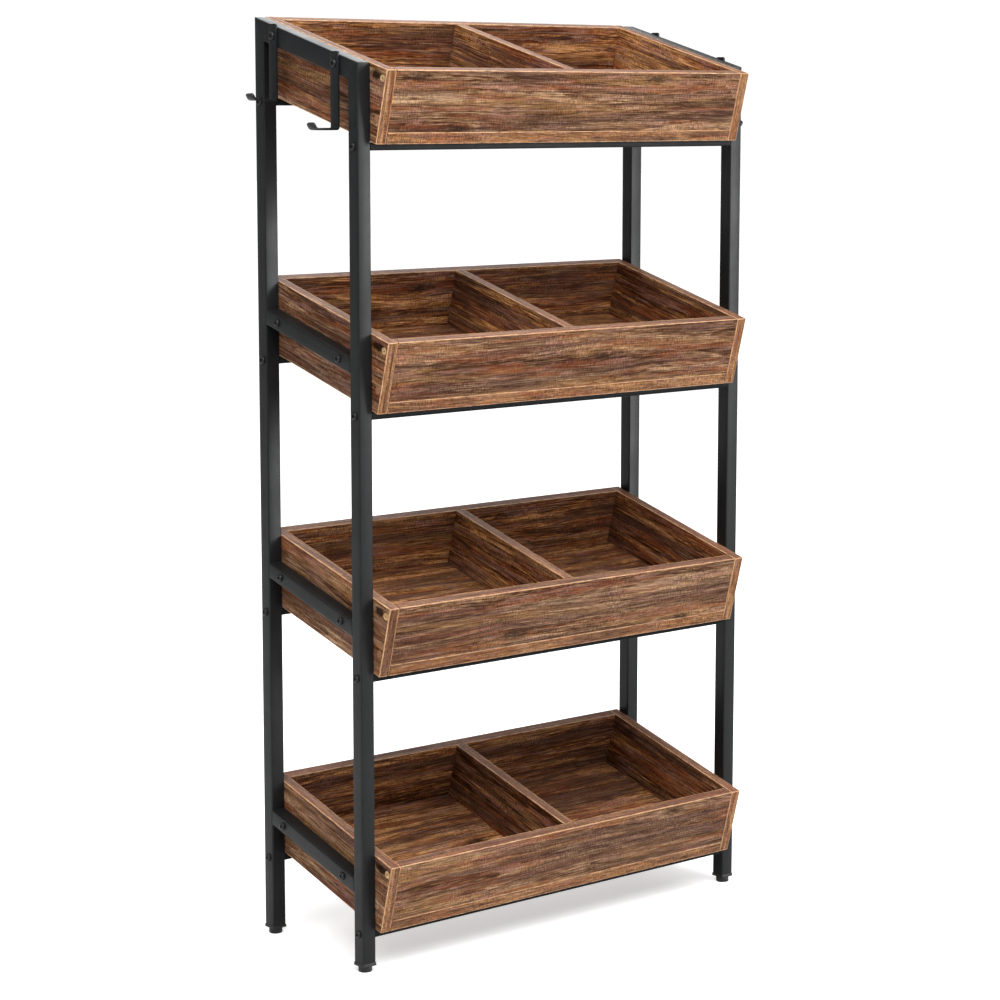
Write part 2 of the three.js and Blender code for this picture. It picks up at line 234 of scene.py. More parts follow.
def printed_wood(name, tones, scale, contrast):
    """Printed rustic oak under melamine: streaky grain, purplish and tan fields, knots and saw marks.

    tones are the colours from the deepest to the lightest streak, and scale is the size of the print.
    """
    material, tree, shader = new_material(name)
    sheet = add(tree, "UVMap", uv_map="laminate")

    # About a third of the sheet's cells hold a knot, and the grain parts round it
    cell_length = 300 * MM * scale
    cell_width = 80 * MM * scale
    cells = add(tree, "Mapping", {"Vector": sheet, "Scale": (1 / cell_length, 1 / cell_width, 1)})
    knot = add(tree, "TexVoronoi", {"Vector": cells, "Scale": 1.0}, voronoi_dimensions="2D").node
    has_knot = add(tree, "MapRange", {0: knot.outputs["Color"], 1: 0.62, 2: 0.63})
    from_knot = add(tree, "VectorMath", {0: cells, 1: knot.outputs["Position"]}, operation="SUBTRACT")
    beside_knot = add(tree, "SeparateXYZ", {0: from_knot}, 1)
    near_knot = add(tree, "MapRange", {0: knot.outputs[0], 1: 0.02, 2: 0.36, 3: -0.5 * cell_width, 4: 0.0})
    parting = add(tree, "Math", {0: beside_knot, 1: near_knot}, operation="MULTIPLY")
    parting = add(tree, "Math", {0: parting, 1: has_knot}, operation="MULTIPLY")
    wave = mottle(tree, sheet, (380 * MM, 90 * MM), 1, 0.35)
    wave = add(tree, "MapRange", {0: wave, 1: 0.3, 2: 0.7, 3: -2 * MM, 4: 2 * MM})
    sideways = add(tree, "Math", {0: wave, 1: parting}, operation="ADD")
    sideways = add(tree, "CombineXYZ", {1: sideways})
    grain = add(tree, "VectorMath", {0: sheet, 1: sideways}, operation="ADD")

    def streaks(length, width, detail, roughness, shift):
        """Streaks along the grain, their length and width in millimetres."""
        size = (length * MM * scale, width * MM * scale)
        return mottle(tree, grain, size, detail, roughness, shift)

    def rings(length, width, count, shift):
        """Growth rings: each darkens slowly across and ends at a crisp line."""
        heights = streaks(length, width, 1, 0.4, shift)
        heights = add(tree, "Math", {0: heights, 1: count}, operation="MULTIPLY")
        return add(tree, "Math", {0: heights}, operation="FRACT")

    # The figure: rings, and streaks of every width, the narrow ones shorter
    value = 0.0
    for pattern, share in (
        (streaks(620, 28, 1, 0.6, 1.0), 0.23),
        (streaks(230, 9, 1, 0.6, 2.0), 0.17),
        (streaks(90, 3, 2, 0.7, 3.0), 0.28),
        (streaks(22, 1.5, 1, 0.6, 4.0), 0.25),
        (rings(800, 70, 7.0, 5.0), 0.07),
    ):
        value = add(tree, "Math", {0: pattern, 1: share, 2: value}, operation="MULTIPLY_ADD")
    spread = 0.088 / contrast
    count = len(tones) - 1
    stops = [(0.5 - spread + 2 * spread * i / count, tone) for i, tone in enumerate(tones)]
    colour = add(tree, "ValToRGB", {0: value}, stops=stops)

    # Tan, red-brown, purplish and dark fields, fine rings, sooty streaks, dashes and pale hairs
    for pattern, low, high, strength, stain in (
        (streaks(340, 17, 3, 0.6, 34.7), 0.5, 0.6, 0.48, "#9c7348"),
        (streaks(240, 13, 3, 0.6, 27.1), 0.51, 0.59, 0.55, "#824429"),
        (streaks(90, 11, 3, 0.7, 71.3), 0.52, 0.62, 0.46, "#926b60"),
        (streaks(420, 21, 3, 0.65, 13.3), 0.5, 0.58, 0.58, "#452f29"),
        (rings(420, 44, 21.0, 5.9), 0.75, 1.0, 0.4, "#3c2417"),
        (streaks(120, 5, 4, 0.8, 21.9), 0.57, 0.65, 0.62, "#2f1c13"),
        (streaks(70, 2.2, 2, 0.7, 63.3), 0.57, 0.63, 0.6, "#2c1a11"),
        (streaks(30, 1.2, 1, 0.5, 44.1), 0.6, 0.68, 0.6, "#3d2118"),
        (streaks(90, 1.2, 2, 0.6, 51.7), 0.6, 0.7, 0.4, "#b39478"),
    ):
        colour = stained(tree, colour, pattern, low, high, strength * contrast, stain)

    # The knot's heart has a ragged edge
    ragged = mottle(tree, sheet, (9 * MM, 3 * MM), 2, 0.7)
    heart = add(tree, "Math", {0: ragged, 1: 0.14, 2: knot.outputs[0]}, operation="MULTIPLY_ADD")
    heart = add(tree, "MapRange", {0: heart, 1: 0.09, 2: 0.17, 3: 1.0, 4: 0.0})
    heart = add(tree, "Math", {0: heart, 1: has_knot}, operation="MULTIPLY")
    colour = stained(tree, colour, heart, 0.0, 1.0, 0.8 * contrast, "#22150e")

    # The print's repeat puts one long knot beside the upper front screw of every side
    spot = add(tree, "UVMap", uv_map="corner_knot")
    smear = add(tree, "VectorMath", {0: spot}, 1, operation="LENGTH")
    smear = add(tree, "Math", {0: ragged, 1: 0.9, 2: smear}, operation="MULTIPLY_ADD")
    smear = add(tree, "MapRange", {0: smear, 1: 1.05, 2: 1.6, 3: 1.0, 4: 0.0})
    colour = stained(tree, colour, smear, 0.0, 1.0, 0.94, "#1a100a")

    # Saw marks cross the grain as short ticks
    across = mottle(tree, sheet, (1.9 * MM, 7 * MM), 2, 0.7)
    ticks = add(tree, "MapRange", {0: across, 1: 0.28, 2: 0.72, 3: 0.46, 4: 1.62})
    marked = mottle(tree, sheet, (90 * MM, 50 * MM), 2, 0.6, 3.3)
    marked = add(tree, "MapRange", {0: marked, 1: 0.38, 2: 0.62, 3: 0.3, 4: 1.0})
    colour = add(tree, "Mix", {0: marked, 6: colour, 7: ticks}, 2, data_type="RGBA", blend_type="MULTIPLY")
    surfaced(tree, shader, colour, value, 0.6, 0.48, value, 0.12 * MM)
    shader.inputs["Specular IOR Level"].default_value = 0.18
    shader.inputs["Specular Tint"].default_value = linear("#c08a5a")
    return material


def rustic_laminate():
    """The wide faces: brown and purplish grey streaks with tan bands."""
    tones = ["#2c1508", "#482b17", "#67452d", "#7c5b41", "#907054", "#ad8c6c"]
    return printed_wood("rustic_oak_laminate", tones, scale=1.0, contrast=1.0)


def inner_laminate_painted_light():
    """The faces inside the bins: the same print made brighter, more orange and more contrasting, with deep
    brown streaks between orange ones; painted light, standing in for how the insides are lit.
    """
    tones = ["#351a0a", "#5b3214", "#83512b", "#a26b3c", "#bb814c", "#d6a06a"]
    return printed_wood("rustic_oak_laminate_inside_painted_light", tones, scale=1.0, contrast=1.2)


def edge_banding():
    """The narrow edges: melamine banding, greyer and pinker, with a finer print."""
    tones = ["#4f372b", "#6a4a39", "#7f5b47", "#957058"]
    return printed_wood("melamine_edge_banding", tones, scale=0.6, contrast=0.7)


def front_banding():
    """The narrow edges that face the front: a brighter, warmer orange copy of the banding with red-brown
    dashes, painted light where the front light falls on them.
    """
    tones = ["#673f27", "#8c5f3c", "#a2744c", "#ba8d62"]
    return printed_wood("front_edge_banding_painted_light", tones, scale=0.5, contrast=1.0)


def trimmed_edge():
    """Where the banding was trimmed flush the print is scraped off, so a pale tan line shows."""
    material, tree, shader = new_material("trimmed_banding_line")
    place = add(tree, "UVMap", uv_map="laminate")
    worn = mottle(tree, place, (14 * MM, 3 * MM), 4, 0.65)
    colour = add(tree, "ValToRGB", {0: worn}, stops=[(0.34, "#7d573b"), (0.5, "#b98a60"), (0.66, "#d0a478")])
    surfaced(tree, shader, colour, worn, 0.65, 0.5, worn, 0.05 * MM)
    return material


def turned_metal(name, tones, metallic, roughness):
    """Cold-headed steel with a plated finish: fine marks round the head and cloudy plating."""
    material, tree, shader = new_material(name)
    place = add(tree, "TexCoord", out="Object")
    cloud = mottle(tree, place, [3 * MM] * 3, 3)
    fine = mottle(tree, place, [0.6 * MM] * 3, 2)
    colour = add(tree, "ValToRGB", {0: cloud}, stops=[(0.35, tones[0]), (0.65, tones[1])])
    surfaced(tree, shader, colour, cloud, roughness + 0.1, roughness - 0.06, fine, 0.02 * MM)
    shader.inputs["Metallic"].default_value = metallic
    return material


def moulded_plastic(name, tones, roughness, grain):
    """Injection-moulded plastic: even colour with a fine spark-eroded texture from the mould."""
    material, tree, shader = new_material(name)
    place = add(tree, "TexCoord", out="Object")
    texture = mottle(tree, place, [grain] * 3, 2)
    flow = mottle(tree, place, [9 * MM] * 3, 2)
    colour = add(tree, "ValToRGB", {0: flow}, stops=[(0.35, tones[0]), (0.65, tones[1])])
    surfaced(tree, shader, colour, texture, roughness + 0.12, roughness, texture, 0.03 * MM)
    shader.inputs["Specular IOR Level"].default_value = 0.4
    return material


def studio_floor():
    """A pale floor that the camera sees evenly white, though it throws less light onto the rack."""
    material, tree, shader = new_material("pale_studio_floor")
    place = add(tree, "TexCoord", out="Object")
    cloud = mottle(tree, place, [0.5] * 3, 2)
    colour = add(tree, "ValToRGB", {0: cloud}, stops=[(0.3, "#efeff0"), (0.7, "#f3f3f3")])
    tree.links.new(colour, shader.inputs["Base Color"])
    shader.inputs["Roughness"].default_value = 0.9
    shader.inputs["Specular IOR Level"].default_value = 0.0
    shader.inputs["Emission Color"].default_value = (1, 1, 1, 1)
    seen = add(tree, "LightPath", out="Is Camera Ray")
    glow = add(tree, "MapRange", {0: seen, 3: 0.0, 4: 0.5})
    tree.links.new(glow, shader.inputs["Emission Strength"])
    return material


COAT = powder_coated_steel("satin_black_powder_coat", 0.185)
# The beams and their plates get a less glossy copy of the coat: painted shade, so the beams read dark where
# they sit back under the bins.
SHADED_BEAM_COAT = powder_coated_steel("black_powder_coat_painted_shade", 0.06)  # the beams are dark lines under the bins
BLACK_BOLT = turned_metal("black_oxide_steel", ["#19191a", "#242425"], 0.55, 0.4)
BRIGHT_SCREW = turned_metal("yellow_zinc_plated_steel", ["#bb9663", "#e2bf8e"], 0.45, 0.36)
BROWN_CAP = moulded_plastic("brown_moulded_abs", ["#7a5339", "#8d6446"], 0.45, 0.9 * MM)
BLACK_PLASTIC = moulded_plastic("black_moulded_polypropylene", ["#121213", "#1a1a1b"], 0.42, 0.8 * MM)
# The inside faces and the edges that face the front take brighter copies of the print and banding: painted
# light.
BOARD_FINISHES = (rustic_laminate(), edge_banding(), trimmed_edge(), front_banding(), inner_laminate_painted_light())
WIDE_FACE, NARROW_EDGE, TRIMMED_LINE, FRONT_EDGE, INNER_FACE = range(5)  # their slots on a board


# Modelling


def leave_edit_mode():
    if bpy.context.object and bpy.context.object.mode != "OBJECT":
        bpy.ops.object.mode_set(mode="OBJECT")


def select_none():
    leave_edit_mode()
    bpy.ops.object.select_all(action="DESELECT")


def select_only(piece):
    select_none()
    piece.select_set(True)
    bpy.context.view_layer.objects.active = piece


def edit(piece, kind):
    """Opens a piece in edit mode with nothing selected."""
    select_only(piece)
    bpy.ops.object.mode_set(mode="EDIT")
    bpy.ops.mesh.select_mode(type=kind)
    bpy.ops.mesh.select_all(action="DESELECT")


def pick(piece, kind, test):
    """Selects, in edit mode, the vertices, edges or faces that pass a test, and nothing else."""
    mesh = bmesh.from_edit_mesh(piece.data)
    bpy.ops.mesh.select_all(action="DESELECT")
    for element in getattr(mesh, kind):
        if test(element):
            element.select_set(True)
    mesh.select_flush_mode()
    bmesh.update_edit_mesh(piece.data)


def edge_along(axis):
    """A test for edges that run along an axis."""
    return lambda edge: abs((edge.verts[0].co - edge.verts[1].co).normalized()[axis]) > PARALLEL


def edge_above(height):
    """A test for edges that lie at a height or over it."""
    return lambda edge: all(vertex.co.z > height - TOUCH for vertex in edge.verts)


def edge_below(height):
    """A test for edges that lie at a height or under it."""
    return lambda edge: all(vertex.co.z < height + TOUCH for vertex in edge.verts)


def facing(axis, sign=0):
    """A test for faces whose normal points along an axis, one way or both."""
    if sign:
        return lambda face: face.normal[axis] * sign > PARALLEL
    return lambda face: abs(face.normal[axis]) > PARALLEL


def extrude(x=0.0, y=0.0, z=0.0):
    """Pulls out what is selected."""
    bpy.ops.mesh.extrude_region_move(TRANSFORM_OT_translate={"value": (x, y, z)})


def scale_across(factor):
    """Scales what is selected about the Z axis and keeps its height."""
    bpy.ops.transform.resize(value=(factor, factor, 1), center_override=(0, 0, 0))


def settled(name):
    """The new piece, named, with its place and size in its mesh."""
    piece = bpy.context.object
    piece.name = name
    piece.data.name = name
    bpy.ops.object.transform_apply(location=True, rotation=True, scale=True)
    return piece


def block(name, size, centre=(0, 0, 0)):
    """A box, the start of a squared piece or the arm of a cutter."""
    select_none()
    bpy.ops.mesh.primitive_cube_add(size=1, location=centre, scale=size)
    return settled(name)


def rod(name, radius, depth, centre=(0, 0, 0), turn=(0, 0, 0), steps=48):
    """A cylinder, the start of a turned piece or a drill."""
    select_none()
    bpy.ops.mesh.primitive_cylinder_add(
        vertices=steps, radius=radius, depth=depth, location=centre, rotation=turn
    )
    return settled(name)


def drill_along_x(radius, centre, depth):
    return rod("drill", radius, depth, centre, turn=(0, math.pi / 2, 0), steps=24)


def apply_modifier(piece, kind, **settings):
    select_only(piece)
    modifier = piece.modifiers.new(kind.lower(), kind)
    for name, value in settings.items():
        setattr(modifier, name, value)
    bpy.ops.object.modifier_apply(modifier=modifier.name)


def soften(piece, width):
    """Breaks a piece's sharp edges."""
    limit = math.radians(50)
    apply_modifier(piece, "BEVEL", width=width, segments=2, limit_method="ANGLE", angle_limit=limit)


def cut_away(piece, cutters):
    """Takes the cutters' volume out of a piece and throws the cutters away."""
    select_none()
    for cutter in cutters:
        cutter.select_set(True)
    bpy.context.view_layer.objects.active = cutters[0]
    if len(cutters) > 1:
        bpy.ops.object.join()
    cutter = bpy.context.object
    apply_modifier(piece, "BOOLEAN", operation="DIFFERENCE", object=cutter, solver="EXACT")
    bpy.data.objects.remove(cutter)


def moved_to(piece, matrix):
    """Puts a piece where it belongs, with its place in its mesh."""
    select_only(piece)
    piece.matrix_world = matrix
    bpy.ops.object.transform_apply(location=True, rotation=True, scale=True)


def shaded(piece, smooth=35):
    """Shades a piece smoothly where its faces meet at less than an angle in degrees."""
    select_only(piece)
    bpy.ops.object.shade_smooth_by_angle(angle=math.radians(smooth))


def coated(piece, material, smooth=35):
    """Gives a piece its only material."""
    piece.data.materials.clear()
    piece.data.materials.append(material)
    shaded(piece, smooth)


def built_in(piece, node=None):
    """Makes a piece ride on the frame, and stand for a node if there is one of its shape."""
    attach(piece, "frame")
    if node:
        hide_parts(node)


def copied(model, name, matrix, body="frame"):
    """A copy of a modelled piece with its own mesh, moved to its place."""
    piece = bpy.data.objects.new(name, model.data.copy())
    piece.data.name = name
    piece.data.transform(matrix)
    bpy.context.scene.collection.objects.link(piece)
    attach(piece, body)
    return piece


def corners_of(node):
    """A node's lowest and highest corners."""
    low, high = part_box(node)
    return Vector(low), Vector(high)


def middle_of(node):
    low, high = corners_of(node)
    return (low + high) / 2


# Frame


FRONT_POST = corners_of("left_front_post")
REAR_POST = corners_of("left_rear_post")
OUTER_X = -FRONT_POST[0].x
INNER_X = OUTER_X - TUBE
POST_X = OUTER_X - TUBE / 2
OUTER_FACE = {"front": FRONT_POST[0].y, "rear": REAR_POST[1].y}
POST_TOP = {"front": FRONT_POST[1].z, "rear": REAR_POST[1].z}
MIDDLE_Y = (OUTER_FACE["front"] + OUTER_FACE["rear"]) / 2


def square_tube(name, width, height, length, corner):
    """A welded tube along Z with rolled corners, open at both ends."""
    tube = block(name, (width, height, length))
    edit(tube, "EDGE")
    pick(tube, "edges", edge_along(Z))
    bpy.ops.mesh.bevel(offset=corner, segments=4, affect="EDGES")
    bpy.ops.mesh.select_mode(type="FACE")
    pick(tube, "faces", facing(Z))
    bpy.ops.mesh.delete(type="ONLY_FACE")
    apply_modifier(tube, "SOLIDIFY", thickness=WALL, offset=-1, use_even_offset=True, use_rim=True)
    return tube


def saw_off(tube, point, normal):
    """Saws a tube off at a plane and keeps the side that the normal points away from."""
    edit(tube, "EDGE")
    bpy.ops.mesh.select_all(action="SELECT")
    bpy.ops.mesh.bisect(plane_co=point, plane_no=normal, use_fill=True, clear_outer=True)
    leave_edit_mode()


def mitre(end):
    """A point and the normal, towards the rail, of the joint between a post and the top rail."""
    sign = ENDS[end]
    outer_z = POST_TOP[end]
    inner_z = outer_z - sign * TUBE * SLOPE - TOP_RAIL_HEIGHT / math.cos(TILT)
    across = Vector((0, -sign * (outer_z - inner_z), TUBE)).normalized()
    return Vector((0, OUTER_FACE[end], outer_z)), across


def make_post(side, end):
    """A post, mitred at the top and drilled for the bolts of the beams."""
    node = f"{side}_{end}_post"
    low, high = corners_of(node)
    length = high.z - low.z + TUBE
    post = square_tube(f"{node}_tube", TUBE, TUBE, length, TUBE_CORNER)
    x = SIDES[side] * POST_X
    y = (low.y + high.y) / 2
    moved_to(post, Matrix.Translation((x, y, low.z + length / 2)))
    point, normal = mitre(end)
    saw_off(post, point - normal * WELD_GAP / 2, normal)
    drills = []
    for tier in TIERS:
        beam = middle_of(f"{end}_beam_{tier}")
        drills.append(drill_along_x(SHANK_RADIUS + HOLE_CLEARANCE, (x, beam.y, beam.z), 2 * TUBE))
    cut_away(post, drills)
    coated(post, COAT)
    built_in(post, node)


def rail_middle(side, tier, y):
    """Height of the middle of a rail at a depth y."""
    if tier == 1:
        top = POST_TOP["rear"] - (OUTER_FACE["rear"] - y) * SLOPE
        return top - TOP_RAIL_HEIGHT / 2 / math.cos(TILT)
    return middle_of(f"{side}_rail_{tier}").z + (y - MIDDLE_Y) * SLOPE


def make_rail(side, tier):
    """The top rail is mitred to the posts; the lower ones are cut plumb and welded between them."""
    node = f"{side}_top_rail" if tier == 1 else f"{side}_rail_{tier}"
    height = TOP_RAIL_HEIGHT if tier == 1 else TUBE
    length = (OUTER_FACE["rear"] - OUTER_FACE["front"]) / math.cos(TILT) + 2 * TUBE
    rail = square_tube(f"{node}_tube", TUBE, height, length, TUBE_CORNER)
    x = SIDES[side] * POST_X
    along_slope = Matrix.Rotation(TILT, 4, "X") @ Matrix.Rotation(-math.pi / 2, 4, "X")
    moved_to(rail, Matrix.Translation((x, MIDDLE_Y, rail_middle(side, tier, MIDDLE_Y))) @ along_slope)
    for end, sign in ENDS.items():
        if tier == 1:
            point, normal = mitre(end)
            saw_off(rail, point + normal * WELD_GAP / 2, -normal)
        else:
            saw_off(rail, Vector((0, OUTER_FACE[end] - sign * TUBE, 0)), Vector((0, sign, 0)))
    drills = []
    for sign in ENDS.values():
        y = MIDDLE_Y + sign * BOLT_OFFSET
        place = (x, y, rail_middle(side, tier, y))
        drills.append(drill_along_x(SHANK_RADIUS + HOLE_CLEARANCE, place, 2 * TUBE))
    cut_away(rail, drills)
    coated(rail, COAT)
    built_in(rail, node)


def make_beam(end, tier):
    """A flat tube between the posts, with a threaded plate in each end and two drain holes."""
    node = f"{end}_beam_{tier}"
    centre = middle_of(node)
    beam = square_tube(f"{node}_tube", BEAM_HEIGHT, TUBE, 2 * INNER_X, BEAM_CORNER)
    moved_to(beam, Matrix.Translation(centre) @ Matrix.Rotation(math.pi / 2, 4, "Y"))
    drills = []
    for sign in SIDES.values():
        place = (sign * (INNER_X - DRAIN_INSET), centre.y, centre.z - BEAM_HEIGHT / 2)
        drills.append(rod("drill", DRAIN_RADIUS, BEAM_HEIGHT, place))
    cut_away(beam, drills)
    coated(beam, SHADED_BEAM_COAT)
    built_in(beam, node)
    inside = (PLATE_THICKNESS, TUBE - 2 * WALL - PLATE_PLAY, BEAM_HEIGHT - 2 * WALL - PLATE_PLAY)
    for side, sign in SIDES.items():
        place = (sign * (INNER_X - PLATE_INSET), centre.y, centre.z)
        plate = block(f"{side}_{node}_plate", inside, place)
        apply_modifier(plate, "BEVEL", width=PLATE_CHAMFER, segments=2)
        coated(plate, SHADED_BEAM_COAT)
        built_in(plate)


# Bolts


def button_bolt(name, length):
    """A button-head bolt along Z, its head's underside at the origin and its shank below."""
    bolt = rod(name, HEAD_RADIUS, HEAD_HEIGHT, (0, 0, HEAD_HEIGHT / 2))
    edit(bolt, "EDGE")
    pick(bolt, "edges", edge_above(HEAD_HEIGHT))
    bpy.ops.mesh.bevel(offset=HEAD_ROUNDING, segments=6, affect="EDGES", profile=0.5)
    bpy.ops.mesh.select_mode(type="FACE")
    pick(bolt, "faces", facing(Z, -1))
    bpy.ops.mesh.inset(thickness=HEAD_RADIUS - SHANK_RADIUS)
    extrude(z=TIP_LENGTH - length)
    extrude(z=-TIP_LENGTH)
    scale_across(TIP_TAPER)
    socket_radius = SOCKET_WIDTH / 2 / math.cos(math.pi / 6)
    cut_away(bolt, [rod("hexagon", socket_radius, 2 * SOCKET_DEPTH, (0, 0, HEAD_HEIGHT), steps=6)])
    soften(bolt, width=0.15 * MM)
    coated(bolt, BLACK_BOLT)
    return bolt


def outward(side, x, y, z, spin):
    """The matrix that turns a fastener's Z outwards on one side of the rack."""
    turn = Matrix.Rotation(SIDES[side] * math.pi / 2, 4, "Y")
    return Matrix.Translation((SIDES[side] * x, y, z)) @ turn @ Matrix.Rotation(spin, 4, "Z")


def place_bolts():
    """A bolt through a post into each end of a beam, and two through each rail into the bin's side."""
    beam_bolt = button_bolt("beam_bolt_model", BEAM_BOLT)
    rail_bolt = button_bolt("rail_bolt_model", RAIL_BOLT)
    hook_bolt = button_bolt("hook_bolt_model", RAIL_BOLT + HOOK_THICKNESS)
    spin = 0.0
    for side in SIDES:
        for tier in TIERS:
            bearing = OUTER_X + (HOOK_THICKNESS if tier == 1 else 0)
            model = hook_bolt if tier == 1 else rail_bolt
            for end, sign in ENDS.items():
                spin += BOLT_SPIN
                beam = middle_of(f"{end}_beam_{tier}")
                place = outward(side, OUTER_X, beam.y, beam.z, spin)
                copied(beam_bolt, f"{side}_{end}_beam_bolt_{tier}", place)
                y = MIDDLE_Y + sign * BOLT_OFFSET
                place = outward(side, bearing, y, rail_middle(side, tier, y), spin + PAIR_SPIN)
                copied(model, f"{side}_{end}_rail_bolt_{tier}", place)
    for model in (beam_bolt, rail_bolt, hook_bolt):
        bpy.data.objects.remove(model)


# Hooks


def make_hook(side, end):
    """A strip bent into a hook, with rounded ends, held by the rail's bolt."""
    node = f"{side}_{end}_hook"
    low, high = corners_of(node)
    y = (low.y + high.y) / 2
    tip_z = HOOK_LIP * math.cos(HOOK_LEAN)
    tip_x = HOOK_LIP * math.sin(HOOK_LEAN)
    foot_z = low.z + HOOK_THICKNESS / 2
    skin = OUTER_X + HOOK_THICKNESS / 2
    far = high.x if side == "right" else -low.x
    reach = far - tip_x - skin - HOOK_THICKNESS / 2 * math.cos(HOOK_LEAN)
    drop = high.z - foot_z
    middle = (0, 0, foot_z + drop / 2)
    select_none()
    bpy.ops.mesh.primitive_plane_add(size=1, location=middle, rotation=(0, math.pi / 2, 0))
    strip = settled(f"{node}_strip")
    edit(strip, "VERT")
    bpy.ops.mesh.select_all(action="SELECT")
    bpy.ops.transform.resize(value=(1, HOOK_WIDTH, drop), center_override=middle)
    bpy.ops.mesh.select_mode(type="EDGE")
    pick(strip, "edges", edge_below(foot_z))
    extrude(x=reach)
    extrude(x=tip_x, z=tip_z)
    pick(strip, "edges", lambda edge: edge_along(Y)(edge) and edge_below(foot_z)(edge))
    bpy.ops.mesh.bevel(offset=HOOK_BEND, segments=6, affect="EDGES")
    bpy.ops.mesh.select_mode(type="VERT")
    pick(strip, "verts", lambda vertex: vertex.co.z > high.z - TOUCH or vertex.co.x > reach + tip_x - TOUCH)
    bpy.ops.mesh.bevel(offset=HOOK_CORNER, segments=6, affect="VERTICES")
    apply_modifier(strip, "SOLIDIFY", thickness=HOOK_THICKNESS, offset=0, use_even_offset=True)
    soften(strip, width=0.35 * MM)
    turn = Matrix.Rotation(math.pi if side == "left" else 0, 4, "Z")
    x = SIDES[side] * skin
    moved_to(strip, Matrix.Translation((x, y, 0)) @ turn)
    cut_away(strip, [drill_along_x(SHANK_RADIUS + HOLE_CLEARANCE, (x, y, rail_middle(side, 1, y)), TUBE)])
    coated(strip, COAT)
    built_in(strip, node)


# Bins


def bin_place(tier):
    """The matrix of a bin's own axes: X across, Y back along the slope, Z square to the slope."""
    turn = Matrix.Rotation(TILT, 4, "X")
    centre = middle_of(f"bin_{tier}_left_side")
    centre.x = 0
    return Matrix.Translation(centre - turn @ Vector((0, BIN_LENGTH / 2, BIN_HEIGHT / 2))) @ turn


def lay_print(board, size, grain, sheet):
    """Writes the UV map that the print follows, in metres: u with the grain, v across it.

    On the narrow edges the banding runs lengthways. Each face shows its own part of the sheet.
    A second map is measured from the long knot of a bin's side, in halves of the knot's size.
    """
    layer = board.data.uv_layers.new(name="laminate")
    knot = board.data.uv_layers.new(name="corner_knot")
    thickness = min(range(3), key=lambda axis: size[axis])
    for face in board.data.polygons:
        axis = max(range(3), key=lambda a: abs(face.normal[a]))
        others = [a for a in range(3) if a != axis]
        along = grain if axis == thickness else max(others, key=lambda a: size[a])
        across = next(a for a in others if a != along)
        facet = 2 * axis + (1 if face.normal[axis] > 0 else 0)
        has_knot = size[Y] == BIN_LENGTH and axis == X
        for index in face.loop_indices:
            point = board.data.vertices[board.data.loops[index].vertex_index].co
            u = point[along] + sheet * SHEET_STEP[0] + facet * FACE_STEP[0]
            v = point[across] + sheet * SHEET_STEP[1] + facet * FACE_STEP[1]
            layer.data[index].uv = (u, v)
            beside = (point.y - KNOT_ALONG) / KNOT_LENGTH * 2
            above = (point.z - BIN_HEIGHT + KNOT_DROP) / KNOT_HEIGHT * 2
            knot.data[index].uv = (beside, above) if has_knot else FAR_FROM_KNOT


def make_board(tier, name, low, size, grain, sheet, joints=(), drills=()):
    """A board with banded edges: its corners are eased and the print is trimmed back from them.

    The ends that meet another board, each an axis and a sign, have no banding. A drill is a radius,
    a depth and a place.
    """
    node = f"bin_{tier}_{name}"
    centre = Vector(low) + Vector(size) / 2
    board = block(f"{node}_board", size, centre)
    for material in BOARD_FINISHES:
        board.data.materials.append(material)
    edit(board, "EDGE")
    bpy.ops.mesh.select_all(action="SELECT")
    bpy.ops.mesh.bevel(offset=EASE, segments=3, affect="EDGES")
    bpy.ops.mesh.select_mode(type="FACE")
    bpy.ops.mesh.select_all(action="SELECT")
    board.active_material_index = TRIMMED_LINE
    bpy.ops.object.material_slot_assign()
    pick(board, "faces", lambda face: max(abs(value) for value in face.normal) > PARALLEL)
    bpy.ops.mesh.inset(thickness=BAND_LINE, use_individual=True)
    # The faces that look towards the middle of the bin are inner ones, and so are both of the divider's
    inwards = Vector((0, BIN_LENGTH / 2, BIN_HEIGHT / 2)) - centre
    thickness = min(range(3), key=lambda axis: size[axis])
    mesh = bmesh.from_edit_mesh(board.data)
    for face in mesh.faces:
        place = face.calc_center_median() - centre
        if face.select and facing(thickness)(face):
            face.material_index = INNER_FACE if face.normal.dot(inwards) > -MM else WIDE_FACE
        elif face.select:
            face.material_index = FRONT_EDGE if facing(Y, -1)(face) else NARROW_EDGE
        elif any(place[axis] * sign > size[axis] / 2 - EASE - BAND_LINE for axis, sign in joints):
            face.material_index = INNER_FACE
    bmesh.update_edit_mesh(board.data)
    leave_edit_mode()
    if drills:
        cut_away(board, [drill_along_x(radius, place, depth) for radius, depth, place in drills])
    lay_print(board, size, grain, sheet)
    moved_to(board, bin_place(tier))
    shaded(board, smooth=30)
    built_in(board, node)


def side_drills(tier, side, x):
    """The drills for the outer face of a bin's side: for the rail's bolts and for the screws."""
    place = bin_place(tier).inverted()
    drills = []
    for sign in ENDS.values():
        y = MIDDLE_Y + sign * BOLT_OFFSET
        spot = place @ Vector((x, y, rail_middle(side, tier, y)))
        drills.append((SHANK_RADIUS + HOLE_CLEARANCE, 2 * SIDE_HOLE_DEPTH, (x, spot.y, spot.z)))
    for along in (SCREW_INSET, BIN_LENGTH - SCREW_INSET):
        for drop in SCREW_DROPS:
            drills.append((SCREW_HOLE_RADIUS, 2 * SCREW_HOLE_DEPTH, (x, along, BIN_HEIGHT - drop)))
    return drills


